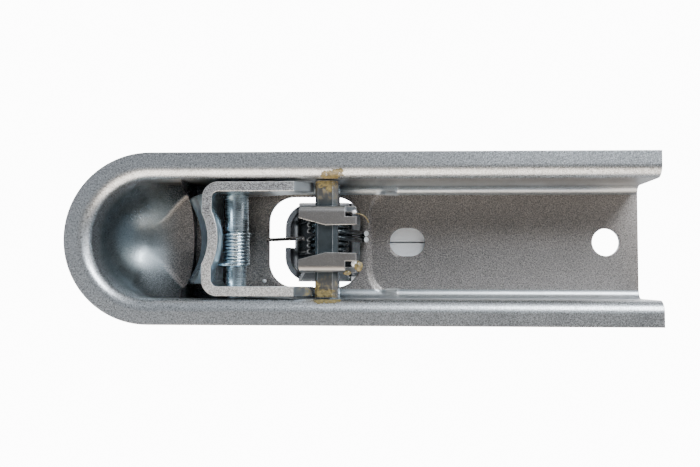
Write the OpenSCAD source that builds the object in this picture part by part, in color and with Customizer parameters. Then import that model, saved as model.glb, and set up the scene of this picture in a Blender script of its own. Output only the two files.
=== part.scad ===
/* [Ball] */
// Diameter of the ball that the socket takes
ball_d = 50; // [48:0.1:60]
// Play between the ball and the socket
ball_play = 0.3; // [0.2:0.1:0.6]

/* [Housing] */
// Overall width over the rolled lips
lip_w = 76; // [74:1:90]
// Clear width between the side walls
channel_w = 53; // [52:0.5:60]
// Depth from the lips' plane to the underside of the rear web
channel_h = 38; // [37:0.5:44]
// Thickness of the pressed sheet
sheet = 3; // [2.5:0.1:3.4]
// Inner radius of the rolled lips, seen from below
lip_bend = 5.5; // [4.5:0.1:6]
// Height of the ball's centre over the lips' plane
ball_h = 10; // [9:0.5:12]
// Distance from the ball's centre to the square rear end
rear_x = 222.7; // [215:1:300]
// How far the web steps up behind the latch
web_step = 1.5; // [0.5:0.1:2.5]
// Place of that step
step_x = 95.4; // [93.9:0.1:100]

/* [Holes in the web] */
// Length of the latch opening
opening_l = 43.7; // [42:0.5:44]
// Width of the latch opening
opening_w = 43.3; // [41:0.5:44]
// Rear edge of the latch opening
opening_rear = 91.9; // [90.4:0.1:92.4]
// Corner radius of the latch opening
opening_r = 12; // [6:0.5:14]
// Width of the front bolt slot
slot_w = 13.6; // [12:0.1:15]
// Length of the front bolt slot
slot_l = 16.8; // [16:0.2:22]
// Place of the front bolt slot
slot_x = 114.3; // [112:0.1:122]
// Diameter of the rear bolt hole
bolt_d = 13; // [10:0.5:16]
// Distance from the rear bolt hole to the rear end
bolt_margin = 14.9; // [12:0.1:20]

/* [Jaw] */
// Thickness of the jaw strap
jaw_sheet = 4.2; // [3.5:0.1:4.6]
// Width over the jaw's arms
jaw_w = 50.6; // [49:0.2:51.4]
// Front corners of the jaw
jaw_front = 22.9; // [22:0.1:24]
// Tips of the jaw's arms
jaw_tip = 71.8; // [68:0.2:72.2]
// Depth of the upper edge of the jaw's arms under the web
jaw_top_drop = 9.5; // [8:0.5:12]
// Diameter of the jaw's rivet pin
jaw_pin_d = 9.2; // [8:0.2:10]
// Place of the jaw's pin along the part
jaw_pin_x = 35.2; // [34.6:0.1:37]
// Depth of the jaw's pin under the web
jaw_pin_drop = 14.5; // [13.5:0.1:15.5]

/* [Jaw spring] */
// Wire of the jaw's torsion spring
jaw_wire = 1.5; // [1.2:0.1:1.6]
// Whole turns of the jaw's torsion spring
jaw_turns = 9; // [7:1:10]
// Length of the spacer sleeve beside the spring
sleeve_l = 16.7; // [14:0.1:18]

/* [Lever] */
// Thickness of the lever's sheet
lever_sheet = 2.5; // [2:0.1:2.8]
// Width of the lever's cap
cap_w = 38; // [36:0.5:39]
// Width over the lever's legs
leg_w = 29.6; // [29:0.2:31]
// Front end of the lever's cap
cap_front = 55.4; // [54.4:0.1:57.4]
// Rear end of the handle
handle_end = 184; // [160:1:190]
// Width of the handle
handle_w = 25; // [22:0.5:30]
// Height of the lever over the web
cap_h = 9.5; // [9:0.5:12]
// Diameter of the lever's pin
lever_pin_d = 8; // [6:0.5:9]
// Place of the lever's pin along the part
lever_pin_x = 77.4; // [76.4:0.1:78.4]
// Depth of the lever's pin under the web
lever_pin_drop = 12.5; // [11.5:0.1:13.5]
// Width of the lock bar
bar_w = 10; // [8:0.2:11]
// Thickness of the lock bar
bar_t = 6; // [4:0.2:7]
// Front face of the lock bar
bar_front = 73; // [72.6:0.1:73.8]

/* [Lever springs] */
// Wire of the lever's two springs
lever_wire = 2.6; // [2:0.1:2.8]
// Whole turns of each of the lever's springs
lever_turns = 2; // [1:1:2]

/* [Hidden] */
$fn = 64;
run_gap = 0.05;
side_gap = 0.3;
seat_gap = 0.3;
far = 400;
over = 1;

socket_r = ball_d / 2 + ball_play;
half_in = channel_w / 2;
half_out = half_in + sheet;
lips_z = -ball_h;
fold_z = lips_z + lip_bend;
latch_lift = 3.5;
web_z = lips_z + channel_h;
latch_web_z = web_z - web_step;
latch_top_z = latch_web_z + sheet;
web_bend = 4;
fan_angle = 31;
panel_r = 14;
bolt_x = rear_x - bolt_margin;
opening_front = opening_rear - opening_l;

jaw_bottom = lips_z + latch_lift;
jaw_top = latch_web_z - jaw_top_drop;
jaw_head = 4;
jaw_head_l = 8;
jaw_slope_l = 16;
jaw_pin_z = latch_web_z - jaw_pin_drop;
cup_gap = 0.15;
cup_in = ball_d / 2 + cup_gap;
cup_out = cup_in + jaw_sheet;
cup_back = 1.3;
cup_lean = 10.5;
cup_rise = 20;
cup_w = 40;
cup_top_gap = 1.2;
cup_edge_x = 16.9;
cup_edge_r = 40;
arm_out = jaw_w / 2;
arm_in = arm_out - jaw_sheet;
jaw_bend_out = 7;
jaw_bend_in = 3;
tip_len = 8;
tip_rise = 5;
tip_h = 4;

rivet_head_r = 7.5;
rivet_head_t = 2.6;
rivet_slope = 0.8;
rivet_face_r = 4.5;
rivet_face_t = 1;

jaw_coil_gap = 0.15;
jaw_coil_in = jaw_pin_d / 2 + jaw_coil_gap;
jaw_turn_gap = 0.05;
jaw_pitch = jaw_wire + jaw_turn_gap;
swing_gap = 2;
sleeve_wall = 0.8;
sleeve_y = -arm_in + side_gap;

cap_gap = 2;
cap_bottom = latch_top_z + cap_gap;
cap_top = web_z + sheet + seat_gap + cap_h;
handle_bottom = web_z + sheet + seat_gap;
cap_neck = 6;
cap_rear = step_x + cap_neck;
cap_round = 8;
cap_corner = 12;
edge_round = 3;
wire_slot = 5;
wire_slot_back = 1.5;
tab_bottom = lips_z + latch_lift;
tab_lead = 7.1;
tab_play = 0.5;
tab_bare = 5;
tab_front = bar_front - tab_lead;
tab_rear = opening_rear - tab_play;
fold_rear = tab_rear - tab_bare;
leg_fold = 3;
tab_reach_front = 5.6;
tab_reach_rear = 8.5;
tab_reach = 8.8;
tab_notch_l = 7.5;
tab_notch = 1.2;
tab_slope_l = 12;
leg_top_rise = 2.5;
leg_top_z = latch_web_z + leg_top_rise;
joggle_drop = 6.5;
joggle_bottom = latch_web_z - joggle_drop;
leg_front_back = 6;
leg_front_top = cap_front + leg_front_back;
leg_front_slope = 2;
lever_pin_z = latch_web_z - lever_pin_drop;
boss_r = 9;
seam = 0.6;
spacer_wall = 1.5;
leg_rear_low = 1;
leg_rear_gap = 1;
leg_rear = opening_rear - leg_rear_gap;
leg_rear_top = opening_rear - opening_r / 2 + tab_play;
tip_round = handle_w / 2;

bar_end_gap = 0.5;
bar_half = half_in - bar_end_gap;
bar_bottom = tab_bottom + lever_sheet;
bar_bevel = 2.2;
bar_edge = 1.2;

lever_coil_gap = 0.35;
lever_coil_in = lever_pin_d / 2 + lever_coil_gap;
lever_coil_r = lever_coil_in + lever_wire / 2;
lever_turn_gap = 0.15;
lever_pitch = lever_wire + lever_turn_gap;
spring_side_gap = 1;
spring_gap = 0.3;
spring_pack = lever_wire + spring_gap / 2 + lever_pitch * (lever_turns + 0.25);
spring_mid_y = spring_pack + spring_side_gap + lever_sheet - leg_w / 2;
web_seat = 0.2;
leg_end_gap = 0.1;
leg_end_x = step_x + leg_end_gap;
knee_l = 6;
knee_drop = 4.5;
arm_back = 7;
hook_wire = 1.4;
hook_y = -1;
hook_seat = 3;
hook_dip = 0.5;
hook_knee_l = 14;
hook_knee_z = 9.5;
hook_end_drop = 2;

// A point list swept to a round wire; the route never runs along Y
function unit(v) = v / norm(v);
function tangent(p, i) = unit(p[min(i + 1, len(p) - 1)] - p[max(i - 1, 0)]);
function ring(c, t, r, n) =
    let (u = unit(cross(t, [0, 1, 0])), v = cross(t, u))
    [for (k = [0 : n - 1]) c + r * (cos(360 * k / n) * u + sin(360 * k / n) * v)];

module wire(route, r, n = 8) {
    rings = len(route);
    points = [for (i = [0 : rings - 1]) each ring(route[i], tangent(route, i), r, n)];
    sides = [for (i = [0 : rings - 2], k = [0 : n - 1])
        [i * n + k, i * n + (k + 1) % n, (i + 1) * n + (k + 1) % n, (i + 1) * n + k]];
    first = [for (k = [n - 1 : -1 : 0]) k];
    last = [for (k = [0 : n - 1]) (rings - 1) * n + k];
    polyhedron(points = points, faces = concat([first], sides, [last]), convexity = 6);
}

// Turns round an axis along Y, from angle a0 on, over a pitch
function coil(x, z, r, y0, pitch, turns, a0, steps = 16) =
    [for (i = [0 : steps * turns])
        let (a = a0 - 360 * i / steps)
        [x + r * cos(a), y0 + pitch * i / steps, z + r * sin(a)]];

function flare(r_ball, r_wall) = acos(r_ball / norm([r_wall, fold_z])) + atan2(fold_z, r_wall);

module along_x(x0, x1) {
    translate([x0, 0, 0]) rotate([90, 0, 90]) linear_extrude(x1 - x0) children();
}

module along_y(y0, y1) {
    translate([0, y1, 0]) rotate([90, 0, 0]) linear_extrude(y1 - y0) children();
}

module rod(x, z, r, y0, y1) {
    translate([x, y1, z]) rotate([90, 0, 0]) cylinder(r = r, h = y1 - y0);
}

module round_rect(x0, x1, half, r) {
    translate([x0 + r, -half]) square([x1 - x0 - 2 * r, 2 * half]);
    translate([x0, -half + r]) square([x1 - x0, 2 * half - 2 * r]);
    for (x = [x0 + r, x1 - r], y = [-half + r, half - r]) translate([x, y]) circle(r = r);
}

// The space inside the pressing, or its outer form when grown by the sheet
module nose_form(grow) {
    r_ball = socket_r + grow;
    r_wall = half_in + grow;
    a = flare(r_ball, r_wall);
    intersection() {
        sphere(r = r_ball);
        translate([-far / 2, -far / 2, fold_z]) cube([far, far, far]);
    }
    translate([0, 0, fold_z]) cylinder(r1 = r_wall, r2 = r_ball * cos(a), h = r_ball * sin(a) - fold_z);
}

module channel_section(grow, roof) {
    half = half_in + grow;
    r = web_bend + grow;
    top = roof + grow;
    translate([-half, fold_z]) square([2 * half, top - r - fold_z]);
    translate([-half + r, fold_z]) square([2 * half - 2 * r, top - fold_z]);
    for (y = [-half + r, half - r]) translate([y, top - r]) circle(r = r);
}

// Plan of the raised panel behind the latch, its front edge sloped and its corners rounded
module panel_form(grow) {
    low = latch_web_z + grow;
    mid = half_in - panel_r;
    along_y(-mid, mid) polygon([
        [step_x, fold_z], [step_x, low], [step_x + web_step, low + web_step],
        [far, low + web_step], [far, fold_z]
    ]);
    for (y = [-mid, mid]) translate([step_x + panel_r, y, low])
        cylinder(r1 = panel_r, r2 = panel_r - web_step, h = web_step);
    translate([step_x + panel_r, -far / 2, fold_z]) cube([far, far, low + web_step - fold_z]);
}

// The channel behind the ball; at its front a cone fans out from the dome, touching it all round
module channel_form(grow) {
    r_ball = socket_r + grow;
    start = -r_ball * sin(fan_angle);
    fan_r = r_ball * cos(fan_angle);
    fan_l = -2 * start;
    intersection() {
        union() {
            along_x(start, rear_x + grow) channel_section(grow, latch_web_z);
            intersection() {
                along_x(step_x, rear_x + grow) channel_section(grow, web_z);
                panel_form(grow);
            }
        }
        union() {
            translate([start, 0, 0]) rotate([0, 90, 0])
                cylinder(r1 = fan_r, r2 = fan_r + fan_l * tan(fan_angle), h = fan_l);
            translate([start + fan_l, -far / 2, -far / 2]) cube([far, far, far]);
        }
        translate([0, 0, fold_z]) linear_extrude(far) {
            circle(r = half_in + grow);
            translate([0, -half_in - grow]) square([far, 2 * (half_in + grow)]);
        }
    }
}

// Rolled lip in section, measured outwards from the wall's inner face
module lip_section() {
    difference() {
        union() {
            translate([lip_bend, lips_z]) square([lip_w / 2 - half_in - lip_bend, sheet]);
            intersection() {
                translate([lip_bend, fold_z]) circle(r = lip_bend);
                translate([0, lips_z]) square([lip_bend, lip_bend]);
            }
        }
        translate([lip_bend, fold_z]) circle(r = lip_bend - sheet);
    }
}

module lips() {
    rotate([0, 0, 90]) rotate_extrude(angle = 180) translate([half_in, 0]) lip_section();
    along_x(0, rear_x) {
        translate([half_in, 0]) lip_section();
        mirror([1, 0]) translate([half_in, 0]) lip_section();
    }
}

module coupler_body() {
    color("silver") {
        difference() {
            union() {
                nose_form(sheet);
                channel_form(sheet);
            }
            nose_form(0);
            channel_form(0);
            translate([rear_x, -far / 2, -far / 2]) cube([far, far, far]);
            linear_extrude(far) {
                round_rect(opening_front, opening_rear, opening_w / 2, opening_r);
                round_rect(slot_x - slot_l / 2, slot_x + slot_l / 2, slot_w / 2, slot_w / 2 - 0.01);
            }
            translate([bolt_x, 0, 0]) cylinder(d = bolt_d, h = far);
            rod(jaw_pin_x, jaw_pin_z, jaw_pin_d / 2 + run_gap, -far / 2, far / 2);
            rod(lever_pin_x, lever_pin_z, lever_pin_d / 2 + run_gap, -far / 2, far / 2);
        }
        lips();
    }
}

// Side outline of the jaw: arms whose lower edge rises towards the tips
module jaw_profile() {
    polygon([
        [0, jaw_bottom], [jaw_tip - tip_len, jaw_bottom], [jaw_tip, jaw_bottom + tip_rise],
        [jaw_tip, jaw_bottom + tip_rise + tip_h], [jaw_tip - jaw_slope_l, jaw_top - jaw_head],
        [jaw_pin_x + jaw_head_l, jaw_top + jaw_head], [0, jaw_top + jaw_head]
    ]);
}

// The strap in plan, open behind the arms' tips
module jaw_strap() {
    difference() {
        round_rect(jaw_front, jaw_tip + 2 * jaw_bend_out, arm_out, jaw_bend_out);
        round_rect(jaw_front + jaw_sheet, jaw_tip + 4 * jaw_bend_out, arm_in, jaw_bend_in);
    }
}

module jaw() {
    cup_top = latch_web_z - cup_top_gap;
    color("gainsboro") difference() {
        union() {
            intersection() {
                linear_extrude(far, center = true) jaw_strap();
                along_y(-far / 2, far / 2) jaw_profile();
            }
            intersection() {
                translate([cup_back, 0, 0]) sphere(r = cup_out);
                along_y(-cup_w / 2, cup_w / 2) polygon([
                    [jaw_front, jaw_bottom], [jaw_front - cup_lean, jaw_bottom + cup_rise],
                    [jaw_front - cup_lean, cup_top], [far, cup_top], [far, jaw_bottom]
                ]);
                difference() {
                    translate([0, -cup_w / 2, -far / 2]) cube([far, cup_w, far]);
                    translate([cup_edge_x - cup_edge_r, 0, -far / 2]) cylinder(r = cup_edge_r, h = far);
                }
            }
        }
        translate([cup_back, 0, 0]) sphere(r = cup_in);
        rod(jaw_pin_x, jaw_pin_z, jaw_pin_d / 2 + run_gap, -far / 2, far / 2);
    }
}

module rivet_pin(x, z, r) {
    rod(x, z, r, -half_out, half_out);
    for (side = [-1, 1]) translate([x, side * half_out, z]) rotate([-90 * side, 0, 0]) {
        cylinder(r1 = rivet_head_r, r2 = rivet_head_r - rivet_slope, h = rivet_head_t - rivet_face_t);
        translate([0, 0, rivet_head_t - rivet_face_t])
            cylinder(r1 = rivet_head_r - rivet_slope, r2 = rivet_face_r, h = rivet_face_t);
    }
}

module jaw_pin() {
    color("lightsteelblue") rivet_pin(jaw_pin_x, jaw_pin_z, jaw_pin_d / 2);
}

module spacer_sleeve() {
    color("lightsteelblue") difference() {
        rod(jaw_pin_x, jaw_pin_z, jaw_pin_d / 2 + run_gap + sleeve_wall, sleeve_y, sleeve_y + sleeve_l);
        rod(jaw_pin_x, jaw_pin_z, jaw_pin_d / 2 + run_gap, -far / 2, far / 2);
    }
}

module jaw_spring() {
    r = jaw_coil_in + jaw_wire / 2;
    y0 = sleeve_y + sleeve_l + side_gap + jaw_wire / 2;
    y1 = y0 + jaw_pitch * (jaw_turns + 0.25);
    low = jaw_pin_z - r;
    cup_x = cup_back + sqrt(cup_out ^ 2 - y1 ^ 2 - low ^ 2) + seat_gap;
    web_leg = [jaw_pin_x + r, y0, latch_web_z - swing_gap];
    turns = coil(jaw_pin_x, jaw_pin_z, r, y0, jaw_pitch, jaw_turns + 0.25, 0);
    color("lightsteelblue") wire(concat([web_leg], turns, [[cup_x, y1, low]]), jaw_wire / 2);
}

// Cap, joggle, leg and turned-in tab of one side of the lever, in section
module leg_section() {
    out_top = cap_w / 2;
    out = leg_w / 2;
    polygon([
        [out_top - lever_sheet, cap_bottom + over], [out_top, cap_bottom + over], [out_top, leg_top_z],
        [out, joggle_bottom], [out, tab_bottom + leg_fold], [out - lever_sheet, tab_bottom + leg_fold],
        [out - lever_sheet, joggle_bottom], [out_top - lever_sheet, leg_top_z]
    ]);
    translate([out - leg_fold, tab_bottom + leg_fold]) intersection() {
        difference() {
            circle(r = leg_fold);
            circle(r = leg_fold - lever_sheet);
        }
        translate([0, -leg_fold]) square([leg_fold, leg_fold]);
    }
    translate([out - tab_reach, tab_bottom]) square([tab_reach - leg_fold, lever_sheet]);
}

// Side outline of the legs, with the boss round the pin
module leg_profile() {
    polygon([
        [tab_front, tab_bottom - over], [tab_rear + over, tab_bottom - over], [tab_rear + over, bar_bottom],
        [fold_rear, bar_bottom], [fold_rear, leg_rear_low], [leg_rear, leg_rear_low], [leg_rear, lever_pin_z],
        [leg_rear_top, joggle_bottom], [leg_rear_top, cap_bottom + 2 * over],
        [leg_front_top, cap_bottom + 2 * over],
        [leg_front_top + leg_front_slope, leg_top_z - leg_front_slope], [lever_pin_x - boss_r, lever_pin_z]
    ]);
}

module tab_outline() {
    out = leg_w / 2;
    polygon([
        [tab_front, out + over], [tab_front, out - tab_reach_front],
        [tab_front + tab_notch_l, out - tab_reach + tab_notch], [tab_front + tab_slope_l, out - tab_reach],
        [tab_rear, out - tab_reach_rear], [tab_rear, out - tab_bare], [fold_rear, out - tab_bare],
        [fold_rear, out + over]
    ]);
}

module lever_leg() {
    difference() {
        intersection() {
            along_x(cap_front, cap_rear) leg_section();
            along_y(-far / 2, far / 2) leg_profile();
            union() {
                translate([0, 0, lips_z]) linear_extrude(bar_bottom - lips_z) tab_outline();
                translate([0, 0, bar_bottom]) linear_extrude(far)
                    translate([cap_front, 0]) square([cap_rear - cap_front, far]);
            }
        }
        translate([bar_front - run_gap, 0, bar_bottom - run_gap])
            cube([bar_w + 2 * run_gap, far, bar_t + 2 * run_gap]);
        rod(lever_pin_x, lever_pin_z, lever_pin_d / 2 + run_gap, -far / 2, far / 2);
    }
}

// The cap, rounded along its top edges, as the crossing of three outlines
module cap_form(shrink) {
    half = cap_w / 2 - shrink;
    top = cap_top - shrink;
    front = cap_front + shrink;
    rear = cap_rear + shrink;
    intersection() {
        translate([0, 0, cap_bottom - shrink]) linear_extrude(far)
            intersection() {
                round_rect(front, rear + 2 * cap_corner, half, cap_corner - shrink);
                square([2 * rear, 2 * half], center = true);
            }
        along_y(-far / 2, far / 2) {
            translate([front + cap_round - shrink, cap_bottom - far / 2])
                square([far, far / 2 + top - cap_bottom]);
            translate([front, cap_bottom - far / 2])
                square([far, far / 2 + top - cap_bottom - cap_round + shrink]);
            translate([front + cap_round - shrink, top - cap_round + shrink]) circle(r = cap_round - shrink);
        }
        along_x(0, far) {
            translate([-half, 0]) square([2 * half, top - edge_round]);
            translate([-half + edge_round, 0]) square([2 * (half - edge_round), top]);
            for (y = [-half + edge_round, half - edge_round]) translate([y, top - edge_round])
                circle(r = edge_round);
        }
    }
}

module handle_section(shrink) {
    half = handle_w / 2 - shrink;
    r = edge_round;
    low = handle_bottom + shrink;
    high = cap_top - shrink;
    translate([-half, low + r]) square([2 * half, high - low - 2 * r]);
    translate([-half + r, low]) square([2 * half - 2 * r, high - low]);
    for (y = [-half + r, half - r], z = [low + r, high - r]) translate([y, z]) circle(r = r);
}

module lever() {
    color("whitesmoke") {
        difference() {
            union() {
                cap_form(0);
                along_x(cap_rear - over, handle_end) handle_section(0);
            }
            cap_form(lever_sheet);
            along_x(cap_rear - 2 * lever_sheet, handle_end + over) handle_section(lever_sheet);
            translate([cap_rear - over / 2, -seam / 2, 0])
                cube([far, seam, handle_bottom + lever_sheet + over / 2]);
            translate([0, -wire_slot / 2, 0])
                cube([cap_front + lever_sheet + wire_slot_back, wire_slot, far]);
            translate([0, 0, handle_bottom]) linear_extrude(far, center = true) difference() {
                translate([handle_end - tip_round, -handle_w]) square([far, 2 * handle_w]);
                translate([handle_end - tip_round, 0]) circle(r = tip_round);
            }
        }
        lever_leg();
        mirror([0, 1, 0]) lever_leg();
    }
}

module lock_bar() {
    color("slategray") along_y(-bar_half, bar_half) polygon([
        [bar_front, bar_bottom + bar_edge], [bar_front + bar_edge, bar_bottom],
        [bar_front + bar_w - bar_bevel, bar_bottom],
        [bar_front + bar_w, bar_bottom + bar_bevel], [bar_front + bar_w, bar_bottom + bar_t],
        [bar_front, bar_bottom + bar_t]
    ]);
}

module lever_pin() {
    color("lightsteelblue") rivet_pin(lever_pin_x, lever_pin_z, lever_pin_d / 2);
}

module lever_spacer(side) {
    ends = [side * (leg_w / 2 + side_gap), side * (half_in - side_gap / 2)];
    color("lightsteelblue") difference() {
        rod(lever_pin_x, lever_pin_z, lever_pin_d / 2 + spacer_wall, min(ends), max(ends));
        rod(lever_pin_x, lever_pin_z, lever_pin_d / 2 + run_gap, -far / 2, far / 2);
    }
}

module lever_spacer_left() {
    lever_spacer(1);
}

module lever_spacer_right() {
    lever_spacer(-1);
}

// One torsion spring: a leg under the web's rear edge, turns, and an arm under the cap
module lever_spring(side) {
    r = lever_coil_r;
    y0 = spring_mid_y + side * (lever_wire + spring_gap) / 2;
    y1 = y0 + side * lever_pitch * (lever_turns + 0.25);
    leg_end = [leg_end_x, y0, latch_web_z - lever_wire / 2 - web_seat];
    leg_low = [lever_pin_x + knee_l, y0, lever_pin_z - knee_drop];
    arm_end = [cap_front + arm_back, y1, cap_top - lever_sheet - lever_wire / 2 - seat_gap];
    turns = coil(lever_pin_x, lever_pin_z, r, y0, side * lever_pitch, lever_turns + 0.25, -90);
    color("dimgray") wire(concat([leg_end, leg_low], turns, [arm_end]), lever_wire / 2);
}

module lever_spring_left() {
    lever_spring(1);
}

module lever_spring_right() {
    lever_spring(-1);
}

// Thin wire from the front edge of the opening to the springs' turns
module spring_hook() {
    r = hook_wire / 2;
    z = latch_web_z - r - web_seat;
    coil_front = lever_pin_x - lever_coil_r - lever_wire / 2;
    color("dimgray") wire([
        [opening_front - hook_seat, hook_y, z], [opening_front, hook_y, z],
        [opening_front + hook_seat, hook_y, z - hook_dip],
        [opening_front + hook_knee_l, hook_y, latch_web_z - hook_knee_z],
        [coil_front - r - web_seat, hook_y, lever_pin_z - hook_end_drop]
    ], r, 8);
}

coupler_body();
jaw();
jaw_pin();
spacer_sleeve();
jaw_spring();
lever();
lock_bar();
lever_pin();
lever_spacer_left();
lever_spacer_right();
lever_spring_left();
lever_spring_right();
spring_hook();
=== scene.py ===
"""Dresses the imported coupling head: stage, camera, finishes, wound springs and grease."""
import math

import bmesh
import bpy
from mathutils import Matrix, Vector, noise
from mathutils.bvhtree import BVHTree


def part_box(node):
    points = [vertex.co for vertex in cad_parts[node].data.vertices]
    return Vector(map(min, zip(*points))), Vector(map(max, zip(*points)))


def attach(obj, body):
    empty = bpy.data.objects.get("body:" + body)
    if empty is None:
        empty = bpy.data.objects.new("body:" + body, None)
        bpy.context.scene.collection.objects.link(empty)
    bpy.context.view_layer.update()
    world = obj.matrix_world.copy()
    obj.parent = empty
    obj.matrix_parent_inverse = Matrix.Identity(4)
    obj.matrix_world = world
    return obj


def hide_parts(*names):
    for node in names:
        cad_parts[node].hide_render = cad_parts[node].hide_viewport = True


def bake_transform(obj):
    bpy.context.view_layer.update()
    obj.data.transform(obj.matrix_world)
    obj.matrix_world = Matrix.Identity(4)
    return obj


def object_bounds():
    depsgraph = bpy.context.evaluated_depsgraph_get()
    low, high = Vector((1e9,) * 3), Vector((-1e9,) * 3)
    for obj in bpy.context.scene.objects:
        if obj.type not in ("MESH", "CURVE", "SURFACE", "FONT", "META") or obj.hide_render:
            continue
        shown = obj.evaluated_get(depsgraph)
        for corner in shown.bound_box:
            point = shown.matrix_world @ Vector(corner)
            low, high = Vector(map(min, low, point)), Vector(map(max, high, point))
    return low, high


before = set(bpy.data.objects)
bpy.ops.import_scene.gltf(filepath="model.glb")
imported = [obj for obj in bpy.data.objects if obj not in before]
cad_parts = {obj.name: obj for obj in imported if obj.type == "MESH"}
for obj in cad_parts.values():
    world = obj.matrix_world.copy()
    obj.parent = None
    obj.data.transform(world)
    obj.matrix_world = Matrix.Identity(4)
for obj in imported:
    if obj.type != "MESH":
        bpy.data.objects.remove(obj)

bl_info = {
    "name": "Coupling head dressing",
    "version": (1, 0, 0),
    "blender": (4, 5, 0),
    "location": "3D View > Sidebar > Coupler",
    "description": "Stage, finishes, springs and grease for a pressed-steel coupling head",
    "category": "Object",
}

MM = 0.001
CAD_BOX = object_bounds()


def centre_mm(node):
    """Middle of a CAD node's box, in millimetres."""
    low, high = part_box(node)
    return (low + high) / 2 / MM


# Places on the part, in millimetres
JAW_PIN = centre_mm("jaw_pin")
LEVER_PIN = centre_mm("lever_pin")
LIPS_Z = CAD_BOX[0].z / MM
HANDLE_X = 88.0
REAR_X = 215.0

# The web over the latch: its inner face, half the width of its flat, and the reach of its opening
LATCH_WEB_Z = 26.5
WEB_EDGE_Y = 22.3
OPENING_X = (36.0, 112.0)

# The ball's socket, and the fan that joins it to the web
SOCKET_R = 25.3
FAN_END_X = 24.0
FAN_ANGLE = math.radians(31)


# Shader expressions

class Term:
    """One shader socket; arithmetic on it adds Math nodes to the same tree."""

    def __init__(self, net, socket):
        self.net = net
        self.socket = socket

    def math(self, operation, *values):
        return self.net.node("ShaderNodeMath", {"operation": operation}, dict(enumerate(values)))

    def __add__(self, other):
        return self.math("ADD", self, other)

    def __radd__(self, other):
        return self.math("ADD", other, self)

    def __sub__(self, other):
        return self.math("SUBTRACT", self, other)

    def __rsub__(self, other):
        return self.math("SUBTRACT", other, self)

    def __mul__(self, other):
        return self.math("MULTIPLY", self, other)

    def __rmul__(self, other):
        return self.math("MULTIPLY", other, self)

    def __truediv__(self, other):
        return self.math("DIVIDE", self, other)

    def __abs__(self):
        return self.math("ABSOLUTE", self)

    def root(self):
        return self.math("SQRT", self)

    def clipped(self):
        return self.math("MAXIMUM", self.math("MINIMUM", self, 1.0), 0.0)

    def step(self, low, high):
        """0 below low, 1 above high, smooth between; reversed when low is above high."""
        turned = low > high
        start, end = (high, low) if turned else (low, high)
        found = self.net.node("ShaderNodeMapRange", {"interpolation_type": "SMOOTHSTEP"},
                              {"Value": self, "From Min": start, "From Max": end})
        return 1 - found if turned else found

    def within(self, low, high, soft):
        """1 well between two limits, falling to 0 at each over a soft width inside it."""
        return self.step(low, low + soft) * self.step(high, high - soft)


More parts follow.
